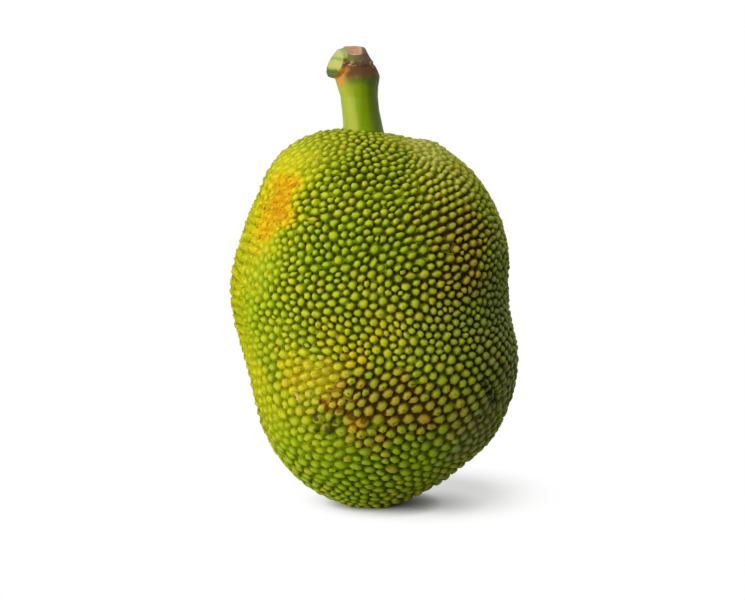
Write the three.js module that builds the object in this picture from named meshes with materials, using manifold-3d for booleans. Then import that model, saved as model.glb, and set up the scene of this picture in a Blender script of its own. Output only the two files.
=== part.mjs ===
// A whole jackfruit that stands on its lower end, with the stump of its stalk on top.
// Units are millimetres. +Z is up, +X is to the right and -Y faces the viewer, and the floor is z = 0.
// The fruit is one solid: a lopsided body given by its distance from a point inside, called the heart,
// and covered with blunt six-sided knobs. The knobs are half as dense on each side as on a real rind,
// which has about four thousand, so that the faceted solid stays light.
import * as THREE from "three";
import { ConvexGeometry } from "three/addons/geometries/ConvexGeometry.js";
import { mergeVertices } from "three/addons/utils/BufferGeometryUtils.js";
import Module from "manifold-3d";

// The fruit's body. Both outlines are distances from the heart to the valleys between the knobs, every 15
// degrees round the fruit, starting at the crown (0) and passing the foot (180).
const HEART_HEIGHT = 150;
const ACROSS_OUTLINE = [
  144.5, 142, 138.5, 127.5, 116.5, 104.5, 104, 114, 123, 130, 134, 142, 151.5, // crown, right side, foot
  146.5, 136, 122.5, 109, 103.5, 107.5, 114.5, 120, 130.5, 147.5, 151.5, // up the left side
];
const THROUGH_OUTLINE = [
  144.5, 143, 136, 125.5, 115, 106, 101.5, 101.5, 106, 116, 130, 142, 151.5, // crown, back, foot
  143, 132, 120.5, 111, 105.5, 103.5, 106, 114, 126, 139.5, 146, // up the front
];
const SQUARENESS = 0.35; // how much boxier than an ellipse the fruit is at its waist

// Broad swellings (height above 0) and hollows (below 0), where the fruitlets inside grew unevenly.
// azimuth runs from +X towards +Y, polar down from the crown, and spread is the half-width in degrees.
const SWELLINGS = [
  { azimuth: -42, polar: 48, spread: 17, height: 4 }, // right shoulder
  { azimuth: -68, polar: 22, spread: 10, height: -4 }, // groove below the stalk
  { azimuth: -125, polar: 118, spread: 20, height: 4 }, // belly, low on the left
  { azimuth: -75, polar: 84, spread: 17, height: -2.5 }, // flat of the front
  { azimuth: -22, polar: 116, spread: 8, height: -4 }, // dent, low on the right
  { azimuth: -80, polar: 3, spread: 5, height: 1.5 }, // collar, in front of the stalk
  { azimuth: 5, polar: 9, spread: 2.5, height: -2.5 }, // groove beside the collar
  { azimuth: -5, polar: 17, spread: 4.5, height: 3.2 }, // lip of the crown, on the right
  { azimuth: 70, polar: 60, spread: 18, height: 4 }, // back of the shoulder
  { azimuth: 120, polar: 112, spread: 20, height: 3.5 }, // back of the belly
];

// The knobs.
const KNOB_COUNT = 1500;
const KNOB_HEIGHT = 3.4;
const GOLDEN_ANGLE = Math.PI * (3 - Math.sqrt(5));
const KNOB_SPREAD = new THREE.Vector3(110, 105, 150); // body proportions that even out the knobs

// The stalk: an upright stem that swells into a knuckle, where a knife cut it just above a side branch.
const STALK_FOOT = new THREE.Vector3(-9, 7, 281); // its foot sits about 15 mm deep in the fruit
const STALK_SIDES = 28;
const STALK_PROFILE = [
  // height above the foot, radius
  [0, 17.5],
  [14, 16.5],
  [22, 14.8],
  [34, 14],
  [45, 13.9],
  [52, 15.2],
  [60, 16.8],
  [68, 15.2],
  [76, 11.8],
  [90, 7],
];
const STALK_LEAN = [
  // height above the foot, sideways shift
  [0, 0],
  [22, -0.9],
  [40, -3.3],
  [55, -5.2],
  [90, -8.5],
];
const CUTS = [
  // height on the stalk's axis, tilts in degrees
  { height: 84.5, forward: 0, sideways: 2 }, // across the knuckle
  { height: 82.8, forward: 23, sideways: 0 }, // pared off the front
  { height: 85.6, forward: 26, sideways: -22 }, // pared down to the side branch
  { height: 106.5, forward: 31, sideways: -63.5 }, // slanting across the side branch's end
];
const STUB = { height: 67, reach: 22, rootRadius: 11, endRadius: 10, azimuth: 200, rise: 10 }; // side branch
const SOCKET_GAP = 0.3;

const wasm = await Module();
wasm.setup();

const radians = THREE.MathUtils.degToRad;
const heart = new THREE.Vector3(0, 0, HEART_HEIGHT);

function direction(azimuth, polar) {
  const flat = Math.sin(radians(polar));
  return new THREE.Vector3(
    flat * Math.cos(radians(azimuth)),
    flat * Math.sin(radians(azimuth)),
    Math.cos(radians(polar)),
  );
}

// A Catmull-Rom curve round a closed list of distances, read at an angle in radians.
function around(loop, angle) {
  const at = (angle / (2 * Math.PI)) * loop.length;
  const first = Math.floor(at);
  const f = at - first;
  const [a, b, c, d] = [-1, 0, 1, 2].map((k) => loop[(first + k + loop.length) % loop.length]);
  return b + (f / 2) * (c - a + f * (2 * a - 5 * b + 4 * c - d + f * (3 * (b - c) + d - a)));
}

// Distance from the heart to the valleys in a direction.
function valleyDistance(way) {
  const polar = Math.acos(THREE.MathUtils.clamp(way.z, -1, 1));
  const flat = Math.hypot(way.x, way.y) || 1;
  const across = around(ACROSS_OUTLINE, way.x < 0 ? 2 * Math.PI - polar : polar);
  const through = around(THROUGH_OUTLINE, way.y < 0 ? 2 * Math.PI - polar : polar);
  const power = 2 + SQUARENESS * Math.sin(polar) ** 2;
  const share = (Math.abs(way.x) / flat / across) ** power + (Math.abs(way.y) / flat / through) ** power;
  const body = way.x === 0 && way.y === 0 ? across : share ** (-1 / power);
  return SWELLINGS.reduce((sum, s) => {
    const off = way.angleTo(direction(s.azimuth, s.polar)) / radians(s.spread);
    return sum + s.height * Math.exp((-off * off) / 2);
  }, body);
}

function onBody(way, above = 0) {
  return way.clone().multiplyScalar(valleyDistance(way) + above).add(heart);
}

// Knob tips along a golden-angle spiral from the crown to the foot.
function knobWays() {
  return Array.from({ length: KNOB_COUNT }, (_, i) => {
    const z = 1 - (2 * i + 1) / KNOB_COUNT;
    const flat = Math.sqrt(1 - z * z);
    const turn = i * GOLDEN_ANGLE;
    return new THREE.Vector3(flat * Math.cos(turn), flat * Math.sin(turn), z).multiply(KNOB_SPREAD).normalize();
  });
}

// The hull of the tips' directions joins each tip to its neighbours. A valley point lies in the middle of
// each of its triangles, and each edge between two tips gives two facets, one on each knob.
function knobbyBody() {
  const hull = mergeVertices(bare(new ConvexGeometry(knobWays())), 1e-6);
  const place = hull.getAttribute("position");
  const ways = Array.from({ length: place.count }, (_, i) => new THREE.Vector3().fromBufferAttribute(place, i));
  const tips = ways.map((way) => onBody(way.normalize(), KNOB_HEIGHT));
  const valleyOf = new Map();
  const valleys = [];
  const corners = hull.index.array;
  for (let i = 0; i < corners.length; i += 3) {
    const [a, b, c] = corners.slice(i, i + 3);
    const middle = ways[a].clone().add(ways[b]).add(ways[c]).normalize();
    valleys.push(onBody(middle));
    for (const [from, to] of [[a, b], [b, c], [c, a]]) valleyOf.set(`${from} ${to}`, valleys.length - 1);
  }
  const faces = [];
  for (const [edge, left] of valleyOf) {
    const [from, to] = edge.split(" ");
    faces.push(Number(from), tips.length + valleyOf.get(`${to} ${from}`), tips.length + left);
  }
  const body = new THREE.BufferGeometry().setFromPoints([...tips, ...valleys]);
  return solidOf(body.setIndex(faces));
}

// A value read at a height from a list of [height, value], along a smooth curve.
function readAt(list, height) {
  const last = list.length - 1;
  const next = Math.max(1, list.findIndex(([h], i) => h >= height || i === last));
  const [low, high] = [list[next - 1], list[next]];
  return THREE.MathUtils.lerp(low[1], high[1], THREE.MathUtils.smoothstep(height, low[0], high[0]));
}

// A turned shape about the stalk's foot, made wider by a margin and leaned along the stalk.
function turnedStalk(margin) {
  const [top] = STALK_PROFILE.at(-1);
  const points = STALK_PROFILE.map(([height, radius], i) => {
    return new THREE.Vector2(radius + margin, i ? height : -margin);
  });
  const turned = new THREE.LatheGeometry(
    [new THREE.Vector2(0, -margin), ...points, new THREE.Vector2(0, top)],
    STALK_SIDES,
  );
  turned.rotateX(Math.PI / 2);
  const place = turned.getAttribute("position");
  for (let i = 0; i < place.count; i++) place.setX(i, place.getX(i) + readAt(STALK_LEAN, place.getZ(i)));
  return turned.translate(...STALK_FOOT);
}

function onStalkAxis(height) {
  return STALK_FOOT.clone().add(new THREE.Vector3(readAt(STALK_LEAN, height), 0, height));
}

// The stump of a side branch, cut square across, from the stalk's axis outwards.
function sideStub() {
  const way = direction(STUB.azimuth, 90 - STUB.rise);
  const stub = new THREE.CylinderGeometry(STUB.endRadius, STUB.rootRadius, STUB.reach, STALK_SIDES / 2);
  stub.translate(0, STUB.reach / 2, 0);
  stub.applyQuaternion(new THREE.Quaternion().setFromUnitVectors(new THREE.Vector3(0, 1, 0), way));
  return stub.translate(...onStalkAxis(STUB.height));
}

// A cube that holds all that is above a cut.
function aboveCut({ height, forward, sideways }) {
  const size = 100;
  const cube = new THREE.BoxGeometry(size, size, size).translate(0, 0, size / 2);
  return cube.rotateX(radians(forward)).rotateY(radians(sideways)).translate(...onStalkAxis(height));
}

function bare(geometry) {
  geometry.deleteAttribute("normal");
  geometry.deleteAttribute("uv");
  return geometry;
}

function solidOf(geometry) {
  const merged = mergeVertices(bare(geometry), 1e-4);
  return new wasm.Manifold(
    new wasm.Mesh({
      numProp: 3,
      vertProperties: merged.getAttribute("position").array,
      triVerts: new Uint32Array(merged.index.array),
    }),
  );
}

function geometryOf(solid) {
  const { vertProperties, triVerts } = solid.getMesh();
  const geometry = new THREE.BufferGeometry();
  geometry.setAttribute("position", new THREE.BufferAttribute(vertProperties, 3));
  geometry.setIndex(new THREE.BufferAttribute(triVerts, 1));
  return geometry;
}

// The fruit is cut flat where it stands, and opened for the stalk's foot.
function fruit() {
  const size = 400;
  const ground = new THREE.BoxGeometry(size, size, size).translate(0, 0, -size / 2);
  const solid = knobbyBody().subtract(solidOf(ground)).subtract(solidOf(turnedStalk(SOCKET_GAP)));
  const rind = new THREE.MeshStandardMaterial({ color: 0x8a9420, roughness: 0.5, metalness: 0 });
  const mesh = new THREE.Mesh(geometryOf(solid), rind);
  mesh.name = "fruit";
  return mesh;
}

function stalk() {
  const whole = solidOf(turnedStalk(0)).add(solidOf(sideStub()));
  const solid = CUTS.reduce((left, cut) => left.subtract(solidOf(aboveCut(cut))), whole);
  const bark = new THREE.MeshStandardMaterial({ color: 0x8f9c35, roughness: 0.55, metalness: 0 });
  const mesh = new THREE.Mesh(geometryOf(solid), bark);
  mesh.name = "stalk";
  return mesh;
}

// The origin is moved to the middle of the base of the whole fruit's bounding box.
const jackfruit = new THREE.Group();
jackfruit.add(fruit(), stalk());
const box = new THREE.Box3().setFromObject(jackfruit, true);
const centre = box.getCenter(new THREE.Vector3());
jackfruit.position.set(-centre.x, -centre.y, -box.min.z);

export default jackfruit;
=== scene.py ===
"""Dresses the solids of a whole jackfruit: a rind of nearly four thousand knobs, and its cut stalk.

The packed solids come in as a fixed frame. Lengths are in metres, +Z is up and -Y faces the viewer. Each
operator makes one piece, or the stage round it, and main() calls them in order.
"""

import math
import random
from functools import cache

import bmesh
import bpy
import numpy as np
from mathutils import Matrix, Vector, noise
from mathutils.bvhtree import BVHTree


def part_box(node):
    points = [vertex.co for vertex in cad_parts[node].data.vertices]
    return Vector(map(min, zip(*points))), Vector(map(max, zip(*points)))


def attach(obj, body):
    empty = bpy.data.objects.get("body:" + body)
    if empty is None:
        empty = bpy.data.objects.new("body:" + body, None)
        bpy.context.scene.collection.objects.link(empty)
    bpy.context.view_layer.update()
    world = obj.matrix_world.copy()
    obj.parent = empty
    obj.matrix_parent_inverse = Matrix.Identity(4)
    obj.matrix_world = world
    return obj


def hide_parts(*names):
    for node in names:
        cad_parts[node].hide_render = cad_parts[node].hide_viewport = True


bl_info = {
    "name": "Jackfruit",
    "version": (1, 0, 0),
    "blender": (4, 5, 0),
    "location": "View3D > Sidebar > Jackfruit",
    "description": "Grows the knobby rind and the cut stalk of a jackfruit",
    "category": "Object",
}

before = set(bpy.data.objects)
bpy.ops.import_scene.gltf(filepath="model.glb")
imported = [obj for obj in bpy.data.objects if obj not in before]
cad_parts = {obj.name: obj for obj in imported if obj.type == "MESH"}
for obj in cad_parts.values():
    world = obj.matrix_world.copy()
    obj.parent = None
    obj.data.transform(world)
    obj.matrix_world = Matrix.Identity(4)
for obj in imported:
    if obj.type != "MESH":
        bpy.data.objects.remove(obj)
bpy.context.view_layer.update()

FRUIT_LOW, FRUIT_HIGH = (Vector(corner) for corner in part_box("fruit"))
STALK_LOW, STALK_HIGH = (Vector(corner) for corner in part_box("stalk"))
HEART = (FRUIT_LOW + FRUIT_HIGH) / 2
HALF = (FRUIT_HIGH - FRUIT_LOW) / 2
GOLDEN_ANGLE = math.pi * (3 - math.sqrt(5))
UP = Vector((0, 0, 1))
WELD = 1e-6  # corners nearer to each other than this are one


def shade(red, green, blue):
    """A colour given as it shows on a screen, from 0 to 255, in the numbers that Blender mixes."""
    return tuple(((part / 255 + 0.055) / 1.055) ** 2.4 for part in (red, green, blue)) + (1.0,)


@cache
def toward(azimuth, polar):
    """A direction from the heart: azimuth in degrees from +X to +Y, polar in degrees down from the crown."""
    flat = math.sin(math.radians(polar))
    around = math.radians(azimuth)
    return Vector((flat * math.cos(around), flat * math.sin(around), math.cos(math.radians(polar))))


def ease(value, low, high):
    """0 below low, 1 above high and smooth between; high may be the lower one."""
    share = min(max((value - low) / (high - low), 0), 1)
    return share * share * (3 - 2 * share)


# -----------------------------------------------------------------------------
# Marks on the rind: (azimuth, polar, spread in degrees, strength).

RIPE_PATCHES = [
    (-168, 62, 30, 0.44),  # the whole left flank
    (-165, 100, 28, 0.36),
    (-150, 38, 15, 0.5),
    (-144, 38.5, 7.5, 0.92),  # sun-ripened cheek, high on the left
    (-142, 44, 8, 1.0),
    (-147, 51, 7, 0.9),
    (-149, 57, 7, 0.6),
    (-155, 41, 8, 0.72),
    (-135, 46, 6, 0.8),
    (-121, 104, 10, 0.66),  # yellow patch, low on the left of the front
    (-111, 105, 10, 0.66),
    (-107, 90, 8, 0.55),
    (-98, 96, 7, 0.62),
    (-85, 86, 9, 0.55),
    (-111, 114, 3.5, 0.85),
    (-99, 125, 3, 0.85),
    (-47, 35, 10, 0.45),  # right shoulder
    (60, 70, 14, 0.9),  # and on the back
    (78, 84, 20, 0.6),
]
STAINED_PATCHES = [
    (-106, 115, 7, 0.85),  # bruise across the lower front
    (-112, 122, 6, 0.55),
    (-97, 114, 11, 1.0),
    (-83, 116, 14, 1.0),
    (-69, 119, 12, 0.85),
    (-92, 127, 10, 0.75),
    (-55, 121, 10, 0.55),
    (-50, 54, 13, 0.9),  # right shoulder
    (-64, 46, 9, 0.5),
    (-50, 66, 12, 0.75),
    (-62, 76, 13, 0.45),
    (120, 100, 18, 0.7),  # back
    (20, 60, 10, 0.5),
]
FRESH_PATCHES = [
    (-104, 148, 15, 0.9),  # green end, where it stands
    (-131, 142, 14, 0.7),
    (-70, 140, 16, 0.9),
    (-92, 28, 12, 0.3),  # below the stalk
    (-106, 60, 14, 0.5),
    (-140, 82, 13, 0.6),
    (-20, 80, 22, 0.6),  # right flank
    (100, 140, 24, 0.7),  # back
    (160, 60, 20, 0.5),
]
FLAT_PATCHES = [
    (-160, 33, 15, 0.75),  # knobs worn low, down the left flank
    (-168, 60, 27, 1.0),
    (-168, 92, 25, 1.0),
    (-160, 120, 22, 0.8),
    (-147, 38, 9, 0.8),
    (-145, 46, 9, 0.8),
    (-150, 55, 9, 0.8),
    (-138, 22, 10, 0.4),
    (-143, 66, 10, 0.45),
    (-140, 98, 20, 0.3),
    (-113, 107, 12, 0.4),  # on the yellow patch
    (-118, 128, 18, 0.4),
    (-40, 142, 20, 0.25),
    (-42, 131, 12, 0.35),  # low on the right
    (-30, 124, 10, 0.5),
    (-18, 119, 10, 0.5),
    (-5, 18, 14, 0.5),  # on the crown, right of the stalk
    (80, 60, 30, 0.7),  # back
]
DEEP_PATCHES = [  # knobs that stand apart, taller and with painted shade down their sides
    (-88, 22, 14, 0.9),
    (-55, 55, 26, 0.8),
    (-20, 90, 34, 0.7),
]
# Paler skin, partly sun-bleached and partly painted light where the lamps leave the rind dark.
PALE_AND_LIT_PATCHES = [
    (-159, 22, 16, 0.3),  # paler skin and painted light on the crown, on the left
    (-148, 64, 10, 0.15),
    (-5, 17, 12, 1.0),  # and on the right
    (-45, 32, 13, 0.7),
    (-36, 24, 8, 0.85),
    (-95, 14, 12, 0.2),
    (-25, 50, 24, 0.1),
    (-25, 95, 30, 0.1),
    (-112, 106, 11, 0.5),  # on the yellow patch
    (-72, 86, 16, 0.3),
]
SHEEN_AND_SHADE_PATCHES = [(0, 90, 44, 0.6), (-36, 127, 14, 0.6)]  # painted grey sheen and painted shade, down the right flank
SPECKLED_PATCHES = [(-95, 115, 17, 0.9), (-70, 118, 14, 0.75)]  # knobs with brown tips
FLECKED_PATCHES = [(-146, 53, 6, 1.0), (-142, 41, 7, 0.5), (-110, 108, 9, 0.3)]  # brown pits
WITHERED_SPOTS = [  # (azimuth, polar, radius in degrees) of dead knobs
    (-111, 126, 3.8),
    (-108.5, 122, 2.5),
    (-117, 126, 2.2),
    (-116, 121, 2.2),
]
BURNT_AND_SHADE_SPOTS = [  # brown with painted shade, on the lower sides of knobs in the bruise
    (-112, 114, 2.5),
    (-110.5, 117, 2.4),
    (-105.5, 117.5, 2.6),
    (-101, 120.5, 2.6),
    (-95, 122.5, 2.5),
    (-86, 120, 2.0),
]
CREVICE_SHADE_SPOTS = [  # painted shade, near black, in the slit low on the right and in another below it
    (-42.5, 107.5, 2.0),
    (-41.2, 109, 1.6),
    (-39.6, 110.5, 1.6),
    (-37.8, 112, 1.7),
    (-36, 113.5, 1.9),
    (-34, 115, 2.3),
    (-32, 116.3, 2.7),
    (-29.5, 117.5, 2.5),
    (-27.5, 118.5, 1.8),
    (-42, 121, 1.6),
    (-39, 122.5, 1.5),
    (-36, 124, 1.5),
]
SCAB_SPOTS = [  # healed bark, pale with a brown edge
    (-124.5, 111.5, 1.4),
    (-124, 112.6, 1.6),
    (-123.4, 113.7, 1.5),
    (-122.8, 114.8, 1.2),
]
SWELLINGS = [  # (azimuth, polar, spread in degrees, height in metres)
    (180, 4, 6, 0.001),  # collar round the stalk
    (-175, 26, 7, 0.0012),  # crown, on the left
    (-12, 19, 5, 0.0026),  # and on the right, behind a shallow fold
    (-20, 10, 2.5, -0.001),
    (-38, 14, 2.5, -0.0014),
    (-52, 19, 2.5, -0.0012),
    (-42, 108, 1.6, -0.003),  # crevice, low on the right
    (-38, 112, 1.6, -0.003),
    (-32, 116, 2.2, -0.005),
    (-28, 118, 1.8, -0.004),
    (-38, 122.5, 2.5, -0.002),
    (-165, 60, 24, 0.001),  # left flank
    (-165, 100, 20, 0.001),
]
EDGE_OUTSIDE, EDGE_INSIDE = 1.5, 0.5  # where a patch fades in, as shares of its spread
RAGGED_EDGES = [(0.35, 9), (0.25, 23)]  # how far edges wander, in spreads, and how soon they turn


def spreads_away(way, azimuth, polar, spread):
    """How far a direction lies from the middle of a mark, in the mark's own spreads."""
    return math.degrees(way.angle(toward(azimuth, polar))) / spread


def patchiness(way, patches):
    """How strongly a list of patches marks the rind in a direction, from 0 to 1, with ragged edges."""
    ragged = sum(depth * noise.noise(way * fineness) for depth, fineness in RAGGED_EDGES)
    return max(
        strength * ease(spreads_away(way, azimuth, polar, spread) + ragged, EDGE_OUTSIDE, EDGE_INSIDE)
        for azimuth, polar, spread, strength in patches
    )


def swelling(way):
    """How far the body swells out of the solid in a direction."""
    return sum(
        height * math.exp(-(spreads_away(way, azimuth, polar, spread) ** 2) / 2)
        for azimuth, polar, spread, height in SWELLINGS
    )


# -----------------------------------------------------------------------------
# Shader maths.

MIX_SHARE, MIX_FIRST, MIX_OTHER, MIX_RESULT = 0, 6, 7, 2  # sockets of a Mix node that blends colours


class Wire:
    """A node's output that Python expressions can use: each operator adds a Math node."""

    def __init__(self, paint, socket):
        self.paint = paint
        self.socket = socket

    def math(self, operation, *values):
        return self.paint.node("ShaderNodeMath", {"operation": operation}, dict(enumerate(values)))

    def __add__(self, other):
        return self.math("ADD", self, other)

    def __sub__(self, other):
        return self.math("SUBTRACT", self, other)

    def __rsub__(self, other):
        return self.math("SUBTRACT", other, self)

    def __mul__(self, other):
        return self.math("MULTIPLY", self, other)

    def __pow__(self, other):
        return self.math("POWER", self, other)

    __radd__ = __add__
    __rmul__ = __mul__

    def ease(self, low, high):
        """0 at low, 1 at high and smooth between; high may be the lower one."""
        ends = {1: min(low, high), 2: max(low, high), 3: int(low > high), 4: int(low < high)}
        return self.paint.node("ShaderNodeMapRange", {"interpolation_type": "SMOOTHSTEP"}, {0: self} | ends)

    def most(self, other):
        """The larger of two values."""
        return self.math("MAXIMUM", self, other)


class Paint:
    """A material or a world under way, from an empty node tree to the output that it ends in."""

    def __init__(self, name, library):
        self.made = library.new(name)
        self.made.use_nodes = True
        self.tree = self.made.node_tree
        self.tree.nodes.clear()

    def node(self, kind, settings=None, inputs=None, output=0):
        """Adds a node: first its settings, then its inputs by number or name, as values or wires."""
        node = self.tree.nodes.new(kind)
        for name, value in (settings or {}).items():
            setattr(node, name, value)
        for key, value in (inputs or {}).items():
            if isinstance(value, Wire):
                self.tree.links.new(value.socket, node.inputs[key])
            else:
                node.inputs[key].default_value = value
        return Wire(self, node.outputs[output])

    def place(self):
        """Where a point is on the object, in metres."""
        return self.node("ShaderNodeTexCoord", output="Object")

    def reading(self, name):
        """A number that the mesh holds at each point."""
        return self.node("ShaderNodeAttribute", {"attribute_name": name}, output="Fac")

    def watched(self):
        """1 for what is seen, straight, in a reflection or through glass, and 0 for what only gives light."""
        rays = ("Is Camera Ray", "Is Glossy Ray", "Is Transmission Ray")
        straight, mirrored, through = (self.node("ShaderNodeLightPath", output=ray) for ray in rays)
        return straight.most(mirrored).most(through)

    def axes(self, place):
        """The X, Y and Z of a place, as three wires."""
        split = self.node("ShaderNodeSeparateXYZ", inputs={0: place})
        return [Wire(self, socket) for socket in split.socket.node.outputs]

    def stretched(self, place, scale):
        """A place whose noise is finer along each axis by that axis's scale."""
        return self.node("ShaderNodeMapping", inputs={"Vector": place, "Scale": scale})

    def grain(self, place, scale, detail, roughness=0.5):
        """Noise from 0 to 1, with scale spots to the metre."""
        inputs = {"Vector": place, "Scale": scale, "Detail": detail, "Roughness": roughness}
        return self.node("ShaderNodeTexNoise", inputs=inputs)

    def near(self, place, centre, reach):
        """1 at a point and 0 further from it than reach, in metres."""
        away = self.node("ShaderNodeVectorMath", {"operation": "DISTANCE"}, {0: place, 1: centre}, "Value")
        return away.ease(reach, 0)

    def within(self, way, spots):
        """How far inside any of some round spots a direction lies, from 0 at their edges to 1."""
        share = 0
        for azimuth, polar, radius in spots:
            share = self.near(way, toward(azimuth, polar), math.radians(radius)).most(share)
        return share

    def mix(self, share, colour, other):
        """A blend of two colours, the other one at share 1."""
        inputs = {MIX_SHARE: share, MIX_FIRST: colour, MIX_OTHER: other}
        return self.node("ShaderNodeMix", {"data_type": "RGBA"}, inputs, MIX_RESULT)

    def tinted(self, colour, tint):
        """A colour times another."""
        inputs = {MIX_SHARE: 1.0, MIX_FIRST: colour, MIX_OTHER: tint}
        return self.node("ShaderNodeMix", {"data_type": "RGBA", "blend_type": "MULTIPLY"}, inputs, MIX_RESULT)

    def bump(self, height, distance, strength):
        inputs = {"Height": height, "Distance": distance, "Strength": strength}
        return self.node("ShaderNodeBump", inputs=inputs)

    def ended(self, shader, output="ShaderNodeOutputMaterial"):
        """Shows a shader as the surface and gives back what was made."""
        end = self.tree.nodes.new(output)
        self.tree.links.new(shader.socket, end.inputs["Surface"])
        return self.made

    def skin(self, colour, roughness, normal, shine):
        """Ends a material in one Principled surface."""
        inputs = {"Base Color": colour, "Roughness": roughness, "Normal": normal, "Specular IOR Level": shine}
        return self.ended(self.node("ShaderNodeBsdfPrincipled", inputs=inputs))


# -----------------------------------------------------------------------------
# Meshes.

FOOT_SLACK = 1e-5  # how far corners of the stalk's flat foot may lie over its lowest one


def merged_copy(node):
    """A CAD node's mesh as one skin, with the corners that its loose triangles share joined up."""
    bm = bmesh.new()
    bm.from_mesh(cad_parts[node].data)
    bmesh.ops.remove_doubles(bm, verts=bm.verts, dist=WELD)
    return bm


def smoothed(bm, factor):
    """Pulls each corner towards the middle of its neighbours by a share of the way."""
    axes = {f"use_axis_{axis}": True for axis in "xyz"}
    bmesh.ops.smooth_vert(bm, verts=bm.verts, factor=factor, **axes)


def finished(bm, name, material, node):
    """Makes a bmesh the object that stands for a CAD node."""
    bmesh.ops.recalc_face_normals(bm, faces=bm.faces)
    for face in bm.faces:
        face.smooth = True
    mesh = bpy.data.meshes.new(name)
    bm.to_mesh(mesh)
    bm.free()
    mesh.materials.append(material)
    piece = bpy.data.objects.new(name, mesh)
    bpy.context.scene.collection.objects.link(piece)
    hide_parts(node)
    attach(piece, "root")


def stalk_foot():
    """The middle and the radius of the stalk's lowest face."""
    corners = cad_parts["stalk"].data.vertices
    low = [v.co for v in corners if v.co.z < STALK_LOW.z + FOOT_SLACK]
    middle = sum(low, Vector()) / len(low)
    return middle, max((point - middle).length for point in low)


# -----------------------------------------------------------------------------
# The rind.

# How the knobs are spread.
BODY_STEPS = 20001  # heights, from crown to foot, at which the room for knobs is counted
COARSE_FROM, COARSE_TO = 0.05, -0.35  # heights, as shares of half the fruit, between which the knobs coarsen
COARSE_AREA = 1.75  # how much more room each knob has below them
WANDER_REACH, WANDER_FINENESS = 0.004, 18  # how far knobs drift together, and how soon the drift turns
WANDER_LAYERS = (3.1, 17.7, 41.3)  # heights in the noise, one for each axis
EVENING_PULL = 0.4  # how far each round moves a knob towards the middle of its neighbours

# How a knob is shaped.
KNOB_RINGS = [
    # share of the knob's half-width, share of its height
    (0.90, 0.42),
    (0.70, 0.78),
    (0.38, 0.95),
]
RING_SPREAD = (0.9, 1.08)  # shares of its place on a ring at which a corner may lie
HEIGHT_SPREAD = (0.82, 1.15)  # knobs' heights, as shares of the usual one
BOLDNESS, WEAR = 0.35, 0.5  # shares of it that a knob gains where it stands apart and loses where it is worn
ROUNDNESS = 0.3  # how far a knob's outline turns from that of its room to a circle
ROOM_USED = 0.97  # share of the way to the edge of its room that a knob may reach
CROWN_SLIMNESS = 0.07  # how much slimmer knobs are near the crown
STRETCH_SPREAD = (-0.08, 0.32)  # how much longer than wide knobs are
ROW_STRETCH, WORN_STRETCH = 0.18, 0.15  # how much more so in rows, and in worn rows besides
ROW_STRAY = 0.3  # how far a knob's long way strays from its row's
LEAN = 0.09  # how far knobs lean, as a share of their height
SPECKLED_ANYWHERE, SPECKLED_IN_PATCHES = 0.03, 0.9  # shares of the knobs that have a brown tip
SPOT_DEPTH = (0.3, 1.0)  # how dark brown tips are
SPOT_SHADE_WAY = Vector((0.5, -0.3, -0.8))  # from a knob's tip towards its lower right side, away from the lamps, where painted shade goes with the brown tip
SPOT_SHADE_BLOTCHES = (0, 1.4)  # how dark that painted shade is, in shares of the tip
SPOT_EDGE, SPOT_END = 0.8, 1.15  # the painted shade stops at the first share of the half-width, fading to the other

# What lies between knobs, in shares of their height.
SADDLE_RISE = 0.2  # where two knobs meet
SADDLE_SPREAD = (0.6, 1.2)  # shares of that
SADDLE_LIMIT = 0.9
JOIN_SPREAD = (0.45, 0.85)  # how much higher it is where they have grown together
STRAY_JOINS, STRAY_JOIN_RISE = 0.08, 0.5  # the share of other pairs that have, and how much higher those are
WORN_SADDLE_RISE, WORN_PIT_RISE = 0.3, 0.35  # how much higher both are in worn skin
FLECKED_SHARE = 0.45  # of the pits in a flecked patch that are brown
PIT_GROOVE = 0.0008  # height of the valleys above the ground, where the fruit stands

# How rows of worn knobs run.
ROW_CLIMB = 0.6  # how steeply they rise on the right of the crown
RIDGE_HEIGHT = 0.0011
RIDGE_SPACING = 0.0070
ROW_PATCHES = [  # where knobs have grown together in rows
    (-50, 42, 22, 0.9),
    (-12, 60, 24, 0.9),
    (-8, 90, 22, 0.9),
    (-172, 60, 24, 1.0),
    (-172, 92, 26, 1.0),
    (-165, 115, 20, 0.8),
    (-115, 103, 13, 0.6),
    (-100, 150, 18, 0.5),
    (-155, 24, 14, 0.7),
    (100, 60, 25, 0.8),
]
STREAKED_PATCHES = [(-150, 22, 12, 1.0)]  # where the rows run to the stalk

# What is taken off the solid to bare its body.
SOCKET_BELOW, SOCKET_ROUND = 0.002, 0.001  # how far past the stalk's foot its socket reaches
TIP_RISE = 0.001  # how far a knob's tip stands out past the corners round it, at least


def body_tree():
    """The fruit's body without its knobs, to cast rays at: the solid's valleys, with its socket closed."""
    bm = merged_copy("fruit")
    foot, radius = stalk_foot()
    floor, wall = STALK_LOW.z - SOCKET_BELOW, radius + SOCKET_ROUND
    socket = [v for v in bm.verts if v.co.z > floor and (v.co - foot).xy.length < wall]
    bmesh.ops.delete(bm, geom=socket, context="VERTS")
    bmesh.ops.holes_fill(bm, edges=[e for e in bm.edges if e.is_boundary], sides=0)
    tips = []
    for v in bm.verts:
        beside = [e.other_vert(v).co for e in v.link_edges]
        if (v.co - sum(beside, Vector()) / len(beside)).dot((v.co - HEART).normalized()) > TIP_RISE:
            tips.append(v)
    bmesh.ops.dissolve_verts(bm, verts=tips)
    bmesh.ops.triangulate(bm, faces=bm.faces)
    tree = BVHTree.FromBMesh(bm)
    bm.free()
    return tree


def wander(place):
    """A push that changes smoothly from place to place, from -1 to 1 along each axis."""
    return Vector([noise.noise(place + UP * layer) for layer in WANDER_LAYERS])


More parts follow.
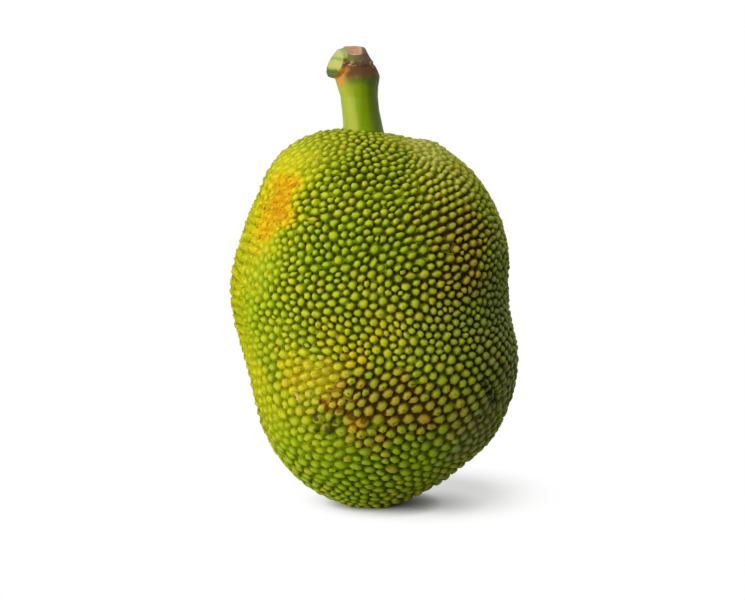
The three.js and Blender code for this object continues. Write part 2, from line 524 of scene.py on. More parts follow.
def seed_ways(settings):
    """A direction for each knob: golden-angle turns from the crown to the foot, each with its due room."""
    heights = np.linspace(1, -1, BODY_STEPS)
    girth = np.hypot(HALF.z * np.sqrt(1 - heights**2), HALF.x * heights)
    coarse = np.clip((COARSE_FROM - heights) / (COARSE_FROM - COARSE_TO), 0, 1)
    counted = np.cumsum(girth / (1 + (COARSE_AREA - 1) * coarse))
    wanted = (np.arange(settings.knob_count) + 0.5) / settings.knob_count * counted[-1]
    chance = random.Random(settings.seed)
    ways = []
    for turn, height in enumerate(np.interp(wanted, counted, heights)):
        flat = math.sqrt(1 - height * height)
        angle = turn * GOLDEN_ANGLE
        point = Vector((HALF.x * flat * math.cos(angle), HALF.y * flat * math.sin(angle), HALF.z * height))
        shift = Vector([chance.gauss(0, settings.unevenness) for _ in range(3)])
        ways.append((point + shift + WANDER_REACH * wander(point * WANDER_FINENESS)).normalized())
    return ways


def onto_body(bm, tree):
    """Moves each corner straight out from the heart, onto the body and its swellings."""
    for v in bm.verts:
        way = (v.co - HEART).normalized()
        v.co = tree.ray_cast(HEART, way)[0] + way * swelling(way)


def knob_net(settings, tree):
    """A net of triangles over the body with a corner at each knob's middle, evened out."""
    bm = bmesh.new()
    for way in seed_ways(settings):
        bm.verts.new(HEART + way)
    bmesh.ops.convex_hull(bm, input=bm.verts)
    onto_body(bm, tree)
    for _ in range(settings.evening):
        bmesh.ops.beautify_fill(bm, faces=bm.faces, edges=bm.edges, method="ANGLE")
        smoothed(bm, EVENING_PULL)
        onto_body(bm, tree)
    bmesh.ops.beautify_fill(bm, faces=bm.faces, edges=bm.edges, method="ANGLE")
    bmesh.ops.recalc_face_normals(bm, faces=bm.faces)
    return bm


def row_way(way):
    """Along the rows of knobs: round the fruit, climbing on the right of its crown, or up to the stalk."""
    around = (UP.cross(way) + UP * ROW_CLIMB * way.z * ease(way.x, -0.2, 0.5)).normalized()
    stalkward = (UP - way * way.z).normalized()
    return around.lerp(stalkward, patchiness(way, STREAKED_PATCHES)).normalized()


def ridge_wave(point):
    """From -1 to 1: the level ridges that worn knobs have run together in."""
    turns = math.tau * point.z / RIDGE_SPACING
    return math.sin(turns + 3 * noise.noise(point * 40) + 4 * noise.noise(point * 14))


class Knob:
    """One knob's middle, the way that it points, and its own height and shade."""

    def __init__(self, face, settings, chance):
        self.face = face
        self.middle = face.calc_center_median()
        self.way = (self.middle - HEART).normalized()
        self.out = face.normal.copy()
        self.reach = sum((v.co - self.middle).length for v in face.verts) / len(face.verts)
        self.worn = patchiness(self.way, FLAT_PATCHES)
        bold = BOLDNESS * patchiness(self.way, DEEP_PATCHES)
        self.height = settings.knob_height * chance.uniform(*HEIGHT_SPREAD) * (1 + bold - WEAR * self.worn)
        self.tint = chance.random()
        speckling = SPECKLED_ANYWHERE + SPECKLED_IN_PATCHES * patchiness(self.way, SPECKLED_PATCHES)
        self.spot = (chance.random() < speckling) * chance.uniform(*SPOT_DEPTH)
        rows = patchiness(self.way, ROW_PATCHES)
        stray = Vector([chance.gauss(0, ROW_STRAY) for _ in range(3)])
        self.row = (row_way(self.way) + (1 - rows) * stray).normalized()
        self.girth = 1 - CROWN_SLIMNESS * ease(self.way.z, 0.1, 0.6) * (1 - self.worn)
        self.stretch = chance.uniform(*STRETCH_SPREAD) + rows * (ROW_STRETCH + WORN_STRETCH * self.worn)
        lean = Vector([chance.gauss(0, LEAN) for _ in range(3)])
        self.lean = lean - lean.dot(self.out) * self.out

    def place(self, point, share, rise):
        """Puts a corner of one ring at a share of the way out to the knob's edge, and at its rise.

        Along its row a knob is longer by its stretch, and across it narrower by half of that.
        """
        arm = point - self.middle
        arm -= arm.dot(self.out) * self.out
        limit = ROOM_USED * arm.length
        reach = (1 - ROUNDNESS) * arm.length + ROUNDNESS * self.reach
        arm = arm.normalized() * reach * self.girth * share
        arm += (1.5 * arm.dot(self.row) * self.row - 0.5 * arm) * self.stretch
        arm *= min(1, limit / max(arm.length, WELD))
        return self.middle + arm + (self.out + self.lean * rise) * self.height * rise


MARKS = {
    "ripe": RIPE_PATCHES,
    "stain": STAINED_PATCHES,
    "fresh": FRESH_PATCHES,
    "flat": FLAT_PATCHES,
    "pale": PALE_AND_LIT_PATCHES,
    "deep": DEEP_PATCHES,
    "bloom": SHEEN_AND_SHADE_PATCHES,
}
RIND_LAYERS = ("rise", "tint", "spot", "ridge", *MARKS)  # what the mesh holds for the skin's colours


def set_pit(v, layers, settings, chance):
    """Lifts the pit between three knobs where they are worn, and makes some pits brown."""
    way = (v.co - HEART).normalized()
    rise = WORN_PIT_RISE * patchiness(way, FLAT_PATCHES)
    v.co += v.normal * settings.knob_height * rise
    v[layers["rise"]] = rise
    v[layers["spot"]] = float(chance.random() < FLECKED_SHARE * patchiness(way, FLECKED_PATCHES))


def raise_domes(bm, knobs, knob_number, layers, chance):
    """Insets each knob's face ring by ring, up to a point at its tip."""
    corners = {knob: [v.co.copy() for v in knob.face.verts] for knob in knobs.values()}
    for share, rise in KNOB_RINGS:
        bmesh.ops.inset_individual(bm, faces=[knob.face for knob in knobs.values()], thickness=1e-4)
        for knob, outline in corners.items():
            for v, corner in zip(knob.face.verts, outline):
                v.co = knob.place(corner, share * chance.uniform(*RING_SPREAD), rise)
                v[layers["rise"]] = rise
                v[layers["tint"]] = knob.tint
                # Painted shade: corners on a knob's lower right side take a share of its brown tip's mark.
                if share < SPOT_EDGE and (corner - knob.middle).dot(SPOT_SHADE_WAY) > 0:
                    v[layers["spot"]] = knob.spot * chance.uniform(*SPOT_SHADE_BLOTCHES) * (SPOT_END - share)
    for v in bmesh.ops.poke(bm, faces=[knob.face for knob in knobs.values()])["verts"]:
        knob = knobs[v.link_faces[0][knob_number]]
        v.co = knob.place(knob.middle, 0, 1)
        v[layers["rise"]] = 1
        v[layers["tint"]] = knob.tint
        v[layers["spot"]] = knob.spot


def set_saddle(v, beside, layers, settings, chance):
    """Lifts the point where knobs meet, more where two of them have grown together."""
    rise = SADDLE_RISE * chance.uniform(*SADDLE_SPREAD)
    if len(beside) == 2:
        one, other = beside
        along = abs((one.middle - other.middle).normalized().dot(row_way(one.way)))
        joined = patchiness(one.way, ROW_PATCHES) * ease(along, 0.7, 0.92)
        rise += joined * chance.uniform(*JOIN_SPREAD) + STRAY_JOIN_RISE * (chance.random() < STRAY_JOINS)
        rise = min(rise + WORN_SADDLE_RISE * one.worn, SADDLE_LIMIT)
    v.co += v.normal * settings.knob_height * rise
    v[layers["rise"]] = rise
    v[layers["tint"]] = 0.5


def set_marks(v, layers):
    """Records the marks at a corner, runs worn skin in ridges, and keeps the foot off the ground."""
    way = (v.co - HEART).normalized()
    for name, patches in MARKS.items():
        v[layers[name]] = patchiness(way, patches)
    rows = v[layers["flat"]] * patchiness(way, ROW_PATCHES) * (1 - patchiness(way, STREAKED_PATCHES))
    ridge = rows * ridge_wave(v.co)
    v.co += way * RIDGE_HEIGHT * ridge
    v[layers["ridge"]] = ridge
    v.co.z = max(v.co.z, PIT_GROOVE * (1 - v[layers["rise"]]))


def knobbed(bm, settings):
    """Turns each corner of the net into a domed knob, and each triangle into a pit between three of them."""
    knob_number = bm.faces.layers.int.new("knob")
    layers = {name: bm.verts.layers.float.new(name) for name in RIND_LAYERS}
    bevel = bmesh.ops.bevel(
        bm,
        geom=bm.verts,
        offset=50,
        offset_type="PERCENT",
        affect="VERTICES",
        segments=1,
        profile=0.5,
        material=-1,
    )
    for number, face in enumerate(bevel["faces"], 1):
        face[knob_number] = number
    bmesh.ops.remove_doubles(bm, verts=bm.verts, dist=WELD)
    bm.normal_update()
    chance = random.Random(settings.seed + 1)
    knobs = {f[knob_number]: Knob(f, settings, chance) for f in bm.faces if f[knob_number]}
    saddles = {v: [knobs[f[knob_number]] for f in v.link_faces if f[knob_number]] for v in bm.verts}
    between = [f for f in bm.faces if not f[knob_number]]
    for v in bmesh.ops.poke(bm, faces=between)["verts"]:
        set_pit(v, layers, settings, chance)
    raise_domes(bm, knobs, knob_number, layers, chance)
    for v, beside in saddles.items():
        set_saddle(v, beside, layers, settings, chance)
    for v in bm.verts:
        set_marks(v, layers)


RIND_SPOTS = [
    # spots, how ragged they are, how far inside they fade in, how strongly, and in what colour
    (WITHERED_SPOTS, 1.4, (0.1, 0.8), 0.85, "dead"),
    (SCAB_SPOTS, 0.9, (0.05, 0.3), 0.7, "ripe_valley"),
    (SCAB_SPOTS, 0.9, (0.35, 0.6), 0.8, "scab"),
    # brown with painted shade, on the lower sides of bruised knobs
    (BURNT_AND_SHADE_SPOTS, 1.2, (0.1, 0.8), 0.8, "burnt_and_shade"),
    # painted shade in the slits low on the right
    (CREVICE_SHADE_SPOTS, 0.4, (0.05, 0.7), 0.9, "crevice_shade"),
]


def rind_skin(settings):
    """Waxy skin: greener and yellower knobs, dark valleys partly of painted shade, painted shade down knobs'
    sides, tips paler partly as a painted highlight, ripe cheeks, bruises and brown tips.
    """
    paint = Paint("rind_skin", bpy.data.materials)
    place = paint.place()
    layers = [paint.reading(name) for name in RIND_LAYERS]
    rise, tint, spot, ridge, ripe, stain, fresh, flat, pale, deep, bloom = layers
    cloud = paint.grain(place, 22, 3)
    fine = paint.grain(place, 420, 3)
    wrinkles = paint.grain(place, 230, 4, 0.6)

    yellowness = (tint * 0.45 + cloud * 1.1 - 0.4 + ripe * 0.8).ease(0.0, 1.0)
    skin = paint.mix(yellowness, settings.green, settings.yellow)
    skin = paint.mix(fresh * 0.8, skin, settings.fresh)
    # Pale and bleached skin, partly painted light.
    skin = paint.mix(pale * 0.75, skin, settings.pale)
    skin = paint.mix(pale.ease(0.5, 1.0) * 0.6, skin, settings.bleached_and_lit)
    # Painted grey sheen and painted shade down the right flank.
    skin = paint.mix(bloom, skin, settings.bloom)
    ripeness = ripe + (tint - 0.5) * 0.2 * (1 - flat) + (wrinkles - 0.5) * (0.4 + flat * 0.3 + ripe * 0.7)
    skin = paint.mix(ripeness.ease(0.3, 0.95), skin, settings.ripe)
    skin = paint.mix(ripeness.ease(0.7, 1.25) * 0.9, skin, settings.orange)
    browned = (stain * (0.6 + tint * 0.8)).ease(0.2, 1.15)
    skin = paint.mix(browned * 0.75, skin, settings.brown)
    skin = paint.mix(tint.ease(0.88, 1.0) * 0.4, skin, settings.brown)

    # Painted shade: each knob's side is tinted darker and greener than its tip.
    side = paint.tinted(skin, settings.side)
    side = paint.mix((flat * 0.8).most(ripeness.ease(0.6, 1.0) * 0.7), side, skin)
    # Between the knobs the skin is darker, partly its own colour and partly painted shade; between worn knobs
    # it is lighter.
    open_valley_tone_and_shade = paint.tinted(skin, settings.open_valley_tone_and_shade)
    valley_tone_and_shade = paint.mix((flat * 0.85 + 0.15).ease(0.0, 0.9), settings.valley_tone_and_shade, open_valley_tone_and_shade)
    valley_tone_and_shade = paint.mix(stain.ease(0.1, 0.8) * 0.8, valley_tone_and_shade, settings.bruise)
    valley_tone_and_shade = paint.mix(ripeness.ease(0.6, 1.0) * 0.85, valley_tone_and_shade, settings.ripe_valley)
    height = rise + (fine - 0.5) * 0.16
    # Where the deep marks lie, the valleys' painted shade climbs higher up the knobs.
    colour = paint.mix((height - stain * 0.1 - deep * 0.14).ease(0.08, 0.5), valley_tone_and_shade, side)
    # Knob tips paler, partly their own colour and partly a painted highlight.
    tip_paleness_and_highlight = rise.ease(0.7, 1.0) * (1 - ripe * 0.8) * (1 - fresh * 0.5) * (0.4 + pale * 0.4 - stain * 0.1)
    tip = paint.mix(tip_paleness_and_highlight, skin, settings.pale)
    colour = paint.mix(height.ease(0.45, 0.95), colour, tip)
    # Darker in the troughs between worn ridges, partly their own skin and partly painted shade.
    colour = paint.mix(ridge.ease(0.1, -0.8) * 0.7, colour, open_valley_tone_and_shade)

    cracked = ripe.ease(0.5, 0.8) * wrinkles.ease(0.47, 0.37)
    colour = paint.mix(cracked * 0.8, colour, settings.ripe_valley)
    # Brown tips and pits, with painted shade on the knobs' lower right sides.
    marked_and_shaded = (spot + (wrinkles - 0.5) * 1.2).ease(0.25, 0.85) * spot.ease(0, 0.3)
    marked_and_shaded = marked_and_shaded * (0.4 + stain * 0.4).most(ripe * 0.7)
    speck = paint.mix(tint.ease(0.45, 0.8), settings.bruise, settings.ripe_valley)
    colour = paint.mix(marked_and_shaded, colour, speck)
    out = paint.node("ShaderNodeVectorMath", {"operation": "SUBTRACT"}, {0: place, 1: HEART})
    way = paint.node("ShaderNodeVectorMath", {"operation": "NORMALIZE"}, {0: out})
    for spots, raggedness, fade, strength, tone in RIND_SPOTS:
        inside = paint.within(way, spots) + (wrinkles - 0.5) * raggedness
        colour = paint.mix(inside.ease(*fade) * strength, colour, getattr(settings, tone))

    roughness = 0.46 + (1 - rise) * 0.3 + fine * 0.12
    normal = paint.bump(fine * 0.3 + wrinkles * (0.4 + flat * 0.5), 0.0009, 0.6)
    return paint.skin(colour, roughness, normal, 0.06)


# -----------------------------------------------------------------------------
# The stalk.


def fine_copy(node, voxel):
    """A CAD node's mesh rebuilt in small even faces, so that it can be carved."""
    bm = merged_copy(node)
    mesh = bpy.data.meshes.new(f"{node}_fine")
    bm.to_mesh(mesh)
    bm.free()
    holder = bpy.data.objects.new(mesh.name, mesh)
    bpy.context.scene.collection.objects.link(holder)
    remesh = holder.modifiers.new("remesh", "REMESH")
    remesh.mode = "VOXEL"
    remesh.voxel_size = voxel
    bpy.context.view_layer.update()
    bm = bmesh.new()
    bm.from_object(holder, bpy.context.evaluated_depsgraph_get())
    bpy.data.objects.remove(holder)
    bpy.data.meshes.remove(mesh)
    return bm


KNUCKLE_HEIGHT = STALK_HIGH.z - 0.0135  # of the ragged scar that rings the knuckle
SCAR_WIDTH = 0.0015
LIP_HEIGHT, CREASE_DEPTH, FLAKE_HEIGHT = 0.0006, 0.0007, 0.0004  # of the scar, the fold under it and its bark
RIB_HEIGHT, LUMP_HEIGHT = 0.00028, 0.0006  # down the stem, and all over the bark
BARK_START, BARK_END = STALK_LOW.x + 0.008, STALK_LOW.x + 0.014  # where the scar fades out on the side branch
CUT_FACES = {  # the ways they face
    "top_cut": Vector((0, -0.39, 0.92)),
    "end_cut": Vector((-0.77, -0.52, 0.38)),
}
# The saddle between the knuckle and the side branch, how far it is filled, and how wide the filling is.
SADDLE = Vector((STALK_LOW.x + 0.011, STALK_LOW.y + 0.0125, STALK_HIGH.z - 0.0065))
SADDLE_PUSH = Vector((-0.0012, -0.0005, 0.0037))
SADDLE_REACH = 0.0065
TOP_SHAVE = 0.001  # off the cut across the top


def scar_height(point):
    """The height of the scar's wavy line on the side where a point lies."""
    return KNUCKLE_HEIGHT + 0.0018 * noise.noise(point * 90) + 0.0010 * noise.noise(point * 300)


def scar_rise(point):
    """How far the bark stands out at the scar's torn lip, or dips in the crease below it."""
    away = (point.z - scar_height(point)) / SCAR_WIDTH
    torn = math.exp(-away * away) * (0.3 + abs(noise.noise(point * 260)) * 2)
    crease = math.exp(-((away + 1.6) ** 2)) * (0.6 + noise.noise(point * 200))
    flaky = noise.noise(point * 520) * ease(abs(away), 5, 1)
    return LIP_HEIGHT * torn - CREASE_DEPTH * crease + FLAKE_HEIGHT * flaky


def carved_stalk(settings):
    """The stalk with softened cuts, shallow ribs down the stem and a ragged scar round its knuckle."""
    bm = fine_copy("stalk", settings.fineness)
    layers = {name: bm.verts.layers.float.new(name) for name in CUT_FACES}
    for _ in range(2):
        smoothed(bm, 0.5)
    foot, _ = stalk_foot()
    bm.normal_update()
    for v in bm.verts:
        point = v.co.copy()
        for name, way in CUT_FACES.items():
            v[layers[name]] = ease(v.normal.dot(way), 0.94, 0.985)
        cut = max(v[layer] for layer in layers.values())
        turn = math.atan2(point.y - foot.y, point.x - foot.x)
        on_stem = ease(point.z, KNUCKLE_HEIGHT, KNUCKLE_HEIGHT - 0.01)
        ribs = RIB_HEIGHT * noise.noise(Vector((math.cos(turn) * 3, math.sin(turn) * 3, point.z * 12)))
        lumps = LUMP_HEIGHT * noise.noise(point * 60)
        scar = scar_rise(point) * ((1 - cut) * ease(point.x, BARK_START, BARK_END))
        v.co += v.normal * (ribs * on_stem + lumps * (1 - cut) + scar + settings.swell * on_stem)
        v.co += SADDLE_PUSH * math.exp(-(((point - SADDLE).length / SADDLE_REACH) ** 2))
        v.co.z -= TOP_SHAVE * ease(point.z, STALK_HIGH.z - 0.01, STALK_HIGH.z - 0.003)
    return bm


STEM_LEAN = 0.124  # how far the stem leans to the left as it rises
BRANCH_TOP = STALK_HIGH.z - 0.0105  # of the fold in the bark over the side branch
SIDE_BRANCH = Vector((STALK_LOW.x + 0.003, STALK_LOW.y + 0.009, STALK_HIGH.z - 0.0175))
UNDER_BRANCH = SIDE_BRANCH + Vector((0.009, -0.001, -0.008))  # where the orange stain is
OVER_STAIN = UNDER_BRANCH + Vector((0.002, -0.002, 0.009))  # and where it creeps up to


def stalk_bark(settings):
    """Green bark, browned and corky at the knuckle, with pale cut wood above it."""
    paint = Paint("stalk_bark", bpy.data.materials)
    place = paint.place()
    sideways, _, height = paint.axes(place)
    top_cut, end_cut = (paint.reading(name) for name in CUT_FACES)
    streaks = paint.grain(paint.stretched(place, (1, 1, 0.12)), 260, 4)
    fine = paint.grain(place, 600, 4)
    ragged = paint.grain(place, 170, 5, 0.65)
    flaked = paint.grain(paint.stretched(place, (1, 1, 2.2)), 190, 4, 0.7)

    # Lengths in metres: sideways from the fruit's middle, and level over the ragged scar.
    across_stem = sideways + height * STEM_LEAN
    # The stem is lighter on its left and darker on its right, partly its own bark and partly painted light
    # and shade.
    shaded_side = (across_stem + (streaks - 0.5) * 0.004).ease(0.0225, 0.0265)
    colour = paint.mix(shaded_side, settings.light, settings.green)
    colour = paint.mix(streaks.ease(0.4, 0.7) * 0.2, colour, settings.fresh)
    level = height - KNUCKLE_HEIGHT + (ragged - 0.5) * 0.010
    colour = paint.mix(level.ease(-0.0195, -0.0125) * 0.5, colour, settings.dark)
    corky = level.ease(-0.0140, -0.0085) * (0.9 + 0.1 * flaked.ease(0.35, 0.6))
    colour = paint.mix(corky, colour, settings.brown)
    colour = paint.mix(flaked.ease(0.42, 0.62) * level.ease(-0.014, -0.003) * 0.6, colour, settings.scar)
    above = level.ease(-0.001, 0.0015)
    colour = paint.mix(above, colour, settings.grey)
    colour = paint.mix(above * sideways.ease(-0.010, -0.018) * 0.55, colour, settings.fresh)
    # Painted shade on the stem's far right.
    dark_side = across_stem.ease(0.0325, 0.0375) * level.ease(-0.004, -0.010)
    colour = paint.mix(dark_side * 0.55, colour, settings.dark)

    # The side branch, and the stain under it.
    colour = paint.mix(paint.near(place, SIDE_BRANCH, 0.017).ease(0.1, 0.4), colour, settings.fresh)
    low_end = height - KNUCKLE_HEIGHT + (ragged - 0.5) * 0.003
    low_end = low_end.ease(-0.0035, -0.007) * low_end.ease(-0.014, -0.012) * sideways.ease(-0.022, -0.027)
    colour = paint.mix(low_end * 0.8, colour, settings.dark)
    creeping = paint.near(place, OVER_STAIN, 0.0085) + (ragged - 0.5) * 0.9
    colour = paint.mix(creeping.ease(0.1, 0.7) * 0.75, colour, settings.orange)
    under = paint.near(place, UNDER_BRANCH, 0.0105) + (ragged - 0.5) * 0.7
    colour = paint.mix(under.ease(0.1, 0.8) * 0.9, colour, settings.orange)
    pale_end = end_cut * (height - KNUCKLE_HEIGHT + (ragged - 0.5) * 0.004).ease(-0.0058, -0.0028)
    colour = paint.mix(pale_end, colour, settings.pale)
    colour = paint.mix(pale_end * ragged.ease(0.4, 0.7) * 0.5, colour, settings.light)
    fold = height - BRANCH_TOP + (ragged - 0.5) * 0.003
    colour = paint.mix(fold.ease(0.0, 0.002) * sideways.ease(-0.0205, -0.0225), colour, settings.pared)
    fold = fold.ease(-0.001, 0.0) * fold.ease(0.0024, 0.0004) * sideways.ease(-0.0195, -0.0215)
    colour = paint.mix(fold * 0.5, colour, settings.fresh)
    rim = end_cut * (1 - end_cut) * sideways.ease(-0.030, -0.035)
    colour = paint.mix(rim * 2.6, colour, settings.scar)

    # The cut wood on top, and the scar.
    wood = paint.mix(ragged.ease(0.4, 0.62), settings.heartwood, settings.cut)
    bare = top_cut * sideways.ease(-0.0095, -0.0115) * sideways.ease(-0.0225, -0.0215)
    colour = paint.mix(bare, colour, wood)
    on_scar = level.ease(-0.0045, -0.002) * level.ease(0.0035, 0.0012) * (1 - end_cut)
    colour = paint.mix(on_scar * flaked.ease(0.36, 0.5) * 0.85, colour, settings.scar)
    colour = paint.mix(on_scar * flaked.ease(0.52, 0.62) * 0.6, colour, settings.cut)
    normal = paint.bump(ragged * 0.6 + fine * 0.4, 0.0004, 0.6)
    roughness = 0.45 + level.ease(-0.012, -0.004) * 0.35
    return paint.skin(colour, roughness, normal, 0.15)


# -----------------------------------------------------------------------------
# The stage.

SHADE_MIDDLE = (0.048, 0.03, 0)  # middle of the fruit's shadow on the ground, out from which white is painted over it
SHADE_FADES = (0.045, 0.12)  # metres from there, between which the painted white covers the shadow
SHADE_CORE, CORE_REACH = (0.042, -0.002, 0), 0.055  # a painted dark shadow beside the foot, and how far it reaches
CONTACT_REACH = 0.018  # how far from the fruit the ground's white glow is darkened, as a painted contact shadow
GROUND_LIT = (0.35, 0.35, 0.35, 1)  # as it throws light on the fruit
GROUND_SEEN = (0.85, 0.85, 0.84, 1)
GROUND_RADIUS = 4
LAMPS = [
    # name, how wide, where
    ("key", 0.9, Vector((-1.6, -0.5, 0.3))),
    ("front", 0.8, Vector((-1.0, -1.4, 0.3))),
    ("top", 1.0, Vector((0.05, -0.4, 1.8))),
]
AIM = Vector((-0.002, 0, 0.45 * STALK_HIGH.z))  # what the camera looks at


def lit_ground(settings):
    """A white ground that shows the fruit's cast shadow, darkened by a painted contact shadow and a painted
    shadow beside the foot, and painted plain white away from it.
    """
    paint = Paint("stage_ground", bpy.data.materials)
    watched = paint.watched()
    place = paint.place()
    away = paint.node("ShaderNodeVectorMath", {"operation": "DISTANCE"}, {0: place, 1: SHADE_MIDDLE}, "Value")
    open_sky = paint.node("ShaderNodeAmbientOcclusion", inputs={"Distance": CONTACT_REACH}, output="AO")
    # Painted light and shadow: away from the fruit, white is painted over the cast shadow, and near it the
    # glow is darker as a painted shadow.
    far = away.ease(*SHADE_FADES) * open_sky.ease(0.0, 0.3)
    painted_shadow = paint.near(place, SHADE_CORE, CORE_REACH)
    near_glow = settings.ground_glow * open_sky**1.5 * (1 - painted_shadow * 0.55)
    strength = watched * (near_glow + (1 - near_glow) * far)
    glow = paint.node("ShaderNodeEmission", inputs={"Strength": strength})
    white = paint.mix(watched, GROUND_LIT, GROUND_SEEN)
    matt = paint.node("ShaderNodeBsdfDiffuse", inputs={"Color": white})
    dark = paint.node("ShaderNodeBsdfDiffuse", inputs={"Color": (0, 0, 0, 1)})
    fading = paint.node("ShaderNodeMixShader", inputs={0: far * watched, 1: matt, 2: dark})
    return paint.ended(paint.node("ShaderNodeAddShader", inputs={0: glow, 1: fading}))


def white_surround(settings):
    """A world that is white where it is seen and a plain soft light where it isn't."""
    paint = Paint("surround", bpy.data.worlds)
    soft = paint.node("ShaderNodeBackground", inputs={"Strength": settings.fill})
    white = paint.node("ShaderNodeBackground", inputs={"Color": (1, 1, 1, 1)})
    mixed = paint.node("ShaderNodeMixShader", inputs={0: paint.watched(), 1: soft, 2: white})
    return paint.ended(mixed, "ShaderNodeOutputWorld")


def looking(name, data, place, aim):
    """Stands a camera or a light in the scene, turned to look at a point."""
    thing = bpy.data.objects.new(name, data)
    thing.location = place
    thing.rotation_euler = (aim - place).to_track_quat("-Z", "Y").to_euler()
    bpy.context.scene.collection.objects.link(thing)
    return thing


# -----------------------------------------------------------------------------
# Settings.


def colour_setting(name, description, *parts):
    return bpy.props.FloatVectorProperty(
        name=name, description=description, subtype="COLOR", size=4, min=0, max=1, default=shade(*parts)
    )


def length_setting(name, description, default):
    return bpy.props.FloatProperty(
        name=name, description=description, unit="LENGTH", precision=5, default=default
    )


def number_setting(name, description, default):
    return bpy.props.FloatProperty(name=name, description=description, default=default)


def count_setting(name, description, default, low):
    return bpy.props.IntProperty(name=name, description=description, default=default, min=low)


class RindSettings(bpy.types.PropertyGroup):
    """Sizes and colours of the rind"""

    knob_count: count_setting("Knobs", "Knobs on the whole fruit", 3750, 500)
    seed: count_setting("Seed", "Start of the random spread of the knobs", 7, 0)
    evening: count_setting("Evening", "Rounds that even out the knobs", 3, 1)
    knob_height: length_setting("Knob height", "How far a knob stands out of the valleys", 0.0031)
    unevenness: length_setting("Unevenness", "How far knobs stray before they are evened out", 0.0012)
    green: colour_setting("Green", "Unripe knobs", 150, 172, 0)
    yellow: colour_setting("Yellow", "Riper knobs", 212, 208, 4)
    fresh: colour_setting("Fresh", "Green end and crown", 150, 186, 8)
    # Pale: also the painted highlight on knob tips, and painted light where the pale marks lie.
    pale: colour_setting("Pale", "Sun-bleached skin", 220, 222, 78)
    ripe: colour_setting("Ripe", "Ripe cheek", 237, 206, 12)
    orange: colour_setting("Orange", "Ripest knobs", 224, 144, 8)
    brown: colour_setting("Brown", "Bruised knobs", 196, 156, 52)
    # Side: painted shade down a knob's side.
    side: colour_setting("Side", "What tints the skin down a knob's side", 178, 194, 90)
    # Valley and open valley: the valleys' darker skin with painted shade in it.
    valley_tone_and_shade: colour_setting("Valley", "Between the knobs", 56, 61, 0)
    open_valley_tone_and_shade: colour_setting("Open valley", "What tints the skin between worn knobs", 184, 180, 80)
    ripe_valley: colour_setting("Ripe valley", "Between ripe knobs", 166, 96, 6)
    bruise: colour_setting("Bruise", "Bruised valleys and tips", 66, 44, 6)
    dead: colour_setting("Dead", "Withered knobs", 50, 48, 20)
    # Bleached: palest skin on the crown, partly painted light.
    bleached_and_lit: colour_setting("Bleached", "Palest skin, on the crown", 228, 222, 144)
    # Burnt: brown with painted shade, on the lower sides of bruised knobs.
    burnt_and_shade: colour_setting("Burnt", "Brown sides of bruised knobs", 116, 62, 8)
    # Painted grey sheen and painted shade down the right flank.
    bloom: colour_setting("Bloom", "Waxy bloom down the right flank", 134, 144, 112)
    # Crevice: painted shade in the slit low on the right.
    crevice_shade: colour_setting("Crevice", "Slit low on the right", 18, 20, 6)
    scab: colour_setting("Scab", "Healed bark", 226, 206, 96)


class StalkSettings(bpy.types.PropertyGroup):
    """Fineness and colours of the stalk"""

    fineness: length_setting("Fineness", "Size of the faces it is carved from", 0.0007)
    swell: length_setting("Swell", "How far the stem swells out of the solid", 0.0008)
    # Green and light green: the stem's darker right and lighter left, partly painted shade and light.
    green: colour_setting("Green", "Bark of the stem, on the right", 138, 166, 0)
    light: colour_setting("Light green", "Bark of the stem, on the left", 172, 184, 52)
    fresh: colour_setting("Fresh green", "Streaks, and the side branch", 112, 134, 12)
    # Dark green: also painted shade on the stem's far right.
    dark: colour_setting("Dark green", "Bark of the stem, far on the right", 84, 92, 44)
    brown: colour_setting("Brown", "Corky band below the scar", 112, 70, 42)
    grey: colour_setting("Grey", "Old bark above the scar", 124, 104, 84)
    scar: colour_setting("Scar", "Ragged line round the knuckle", 92, 64, 40)
    cut: colour_setting("Cut wood", "Cut across the top, and torn flakes", 236, 194, 148)
    heartwood: colour_setting("Heartwood", "Darker wood in the cut", 212, 154, 130)
    pale: colour_setting("Cut branch", "Cut face of the side branch", 188, 194, 108)
    pared: colour_setting("Pared bark", "Pale bark above the side branch", 186, 192, 118)
    orange: colour_setting("Orange", "Stain below the side branch", 226, 150, 54)


class StageSettings(bpy.types.PropertyGroup):
    """Camera and lights"""

    elevation: bpy.props.FloatProperty(
        name="Elevation", description="Camera's height angle", unit="ROTATION", default=math.radians(9.36)
    )
    distance: length_setting("Distance", "Camera to fruit", 2.202)
    lens: number_setting("Lens", "Focal length in millimetres", 134.3)
    key: number_setting("Key light", "Power of the light on the left", 15)
    front: number_setting("Front light", "Power of the light in front", 13.5)
    top: number_setting("Top light", "Power of the light overhead", 12.5)
    fill: number_setting("Fill", "Strength of the soft light all round", 0.095)
    ground_glow: number_setting("Ground glow", "White seen in the ground", 0.6)


# -----------------------------------------------------------------------------
# Operators.


class JACKFRUIT_OT_rind(bpy.types.Operator):
    """Grow the rind over the solid fruit"""

    bl_idname = "jackfruit.rind"
    bl_label = "Grow rind"

    def execute(self, context):
        settings = context.scene.jackfruit_rind
        bm = knob_net(settings, body_tree())
        knobbed(bm, settings)
        finished(bm, "knobbed_rind", rind_skin(settings), "fruit")
        return {"FINISHED"}


class JACKFRUIT_OT_stalk(bpy.types.Operator):
    """Carve and paint the cut stalk"""

    bl_idname = "jackfruit.stalk"
    bl_label = "Carve stalk"

    def execute(self, context):
        settings = context.scene.jackfruit_stalk
        finished(carved_stalk(settings), "cut_stalk", stalk_bark(settings), "stalk")
        return {"FINISHED"}


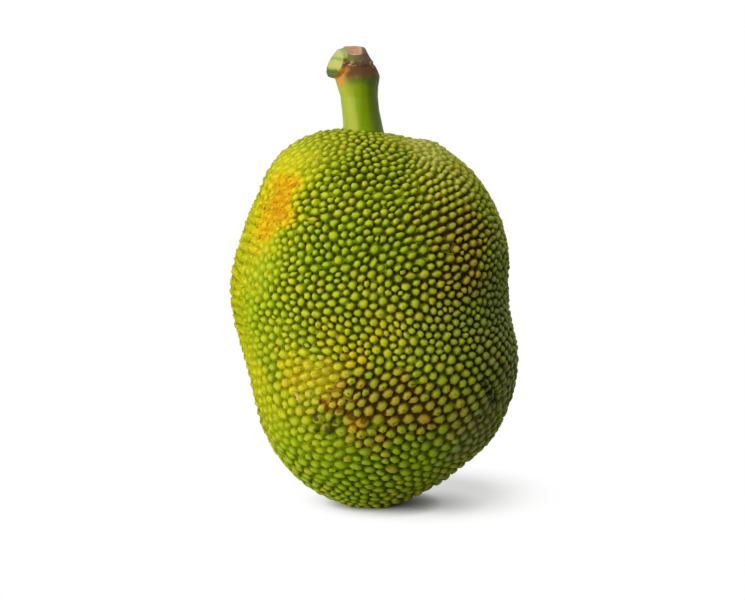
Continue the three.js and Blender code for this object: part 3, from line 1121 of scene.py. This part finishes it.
class JACKFRUIT_OT_stage(bpy.types.Operator):
    """Set up the ground, the lights and the camera"""

    bl_idname = "jackfruit.stage"
    bl_label = "Set stage"

    def execute(self, context):
        settings = context.scene.jackfruit_stage
        lens = bpy.data.cameras.new("camera")
        lens.lens = settings.lens
        back = Vector((0, -math.cos(settings.elevation), math.sin(settings.elevation)))
        context.scene.camera = looking("camera", lens, AIM + back * settings.distance, AIM)
        for name, size, place in LAMPS:
            lamp = bpy.data.lights.new(f"{name}_light", "AREA")
            lamp.shape = "DISK"
            lamp.size = size
            lamp.energy = getattr(settings, name)
            looking(lamp.name, lamp, place, HEART)
        bm = bmesh.new()
        bmesh.ops.create_circle(bm, cap_ends=True, segments=64, radius=GROUND_RADIUS)
        mesh = bpy.data.meshes.new("ground")
        bm.to_mesh(mesh)
        bm.free()
        mesh.materials.append(lit_ground(settings))
        ground = bpy.data.objects.new("ground", mesh)
        context.scene.collection.objects.link(ground)
        context.scene.world = white_surround(settings)
        context.scene.view_settings.view_transform = "Standard"
        return {"FINISHED"}


class JACKFRUIT_PT_sidebar(bpy.types.Panel):
    """The jackfruit's pieces and settings"""

    bl_idname = "JACKFRUIT_PT_sidebar"
    bl_label = "Jackfruit"
    bl_space_type = "VIEW_3D"
    bl_region_type = "UI"
    bl_category = "Jackfruit"

    def draw(self, context):
        for operator in OPERATORS:
            self.layout.operator(operator.bl_idname)
        for name, group in SETTINGS.items():
            box = self.layout.box()
            box.label(text=group.__doc__)
            for prop in group.__annotations__:
                box.prop(getattr(context.scene, name), prop)


OPERATORS = [JACKFRUIT_OT_stage, JACKFRUIT_OT_rind, JACKFRUIT_OT_stalk]
SETTINGS = {
    "jackfruit_rind": RindSettings,
    "jackfruit_stalk": StalkSettings,
    "jackfruit_stage": StageSettings,
}


def register():
    for cls in (*SETTINGS.values(), *OPERATORS, JACKFRUIT_PT_sidebar):
        bpy.utils.register_class(cls)
    for name, group in SETTINGS.items():
        setattr(bpy.types.Scene, name, bpy.props.PointerProperty(type=group))


def unregister():
    for name in SETTINGS:
        delattr(bpy.types.Scene, name)
    for cls in (JACKFRUIT_PT_sidebar, *OPERATORS, *SETTINGS.values()):
        bpy.utils.unregister_class(cls)


def main():
    register()
    for operator in OPERATORS:
        getattr(bpy.ops.jackfruit, operator.bl_idname.split(".")[1])()


if __name__ == "__main__":
    main()
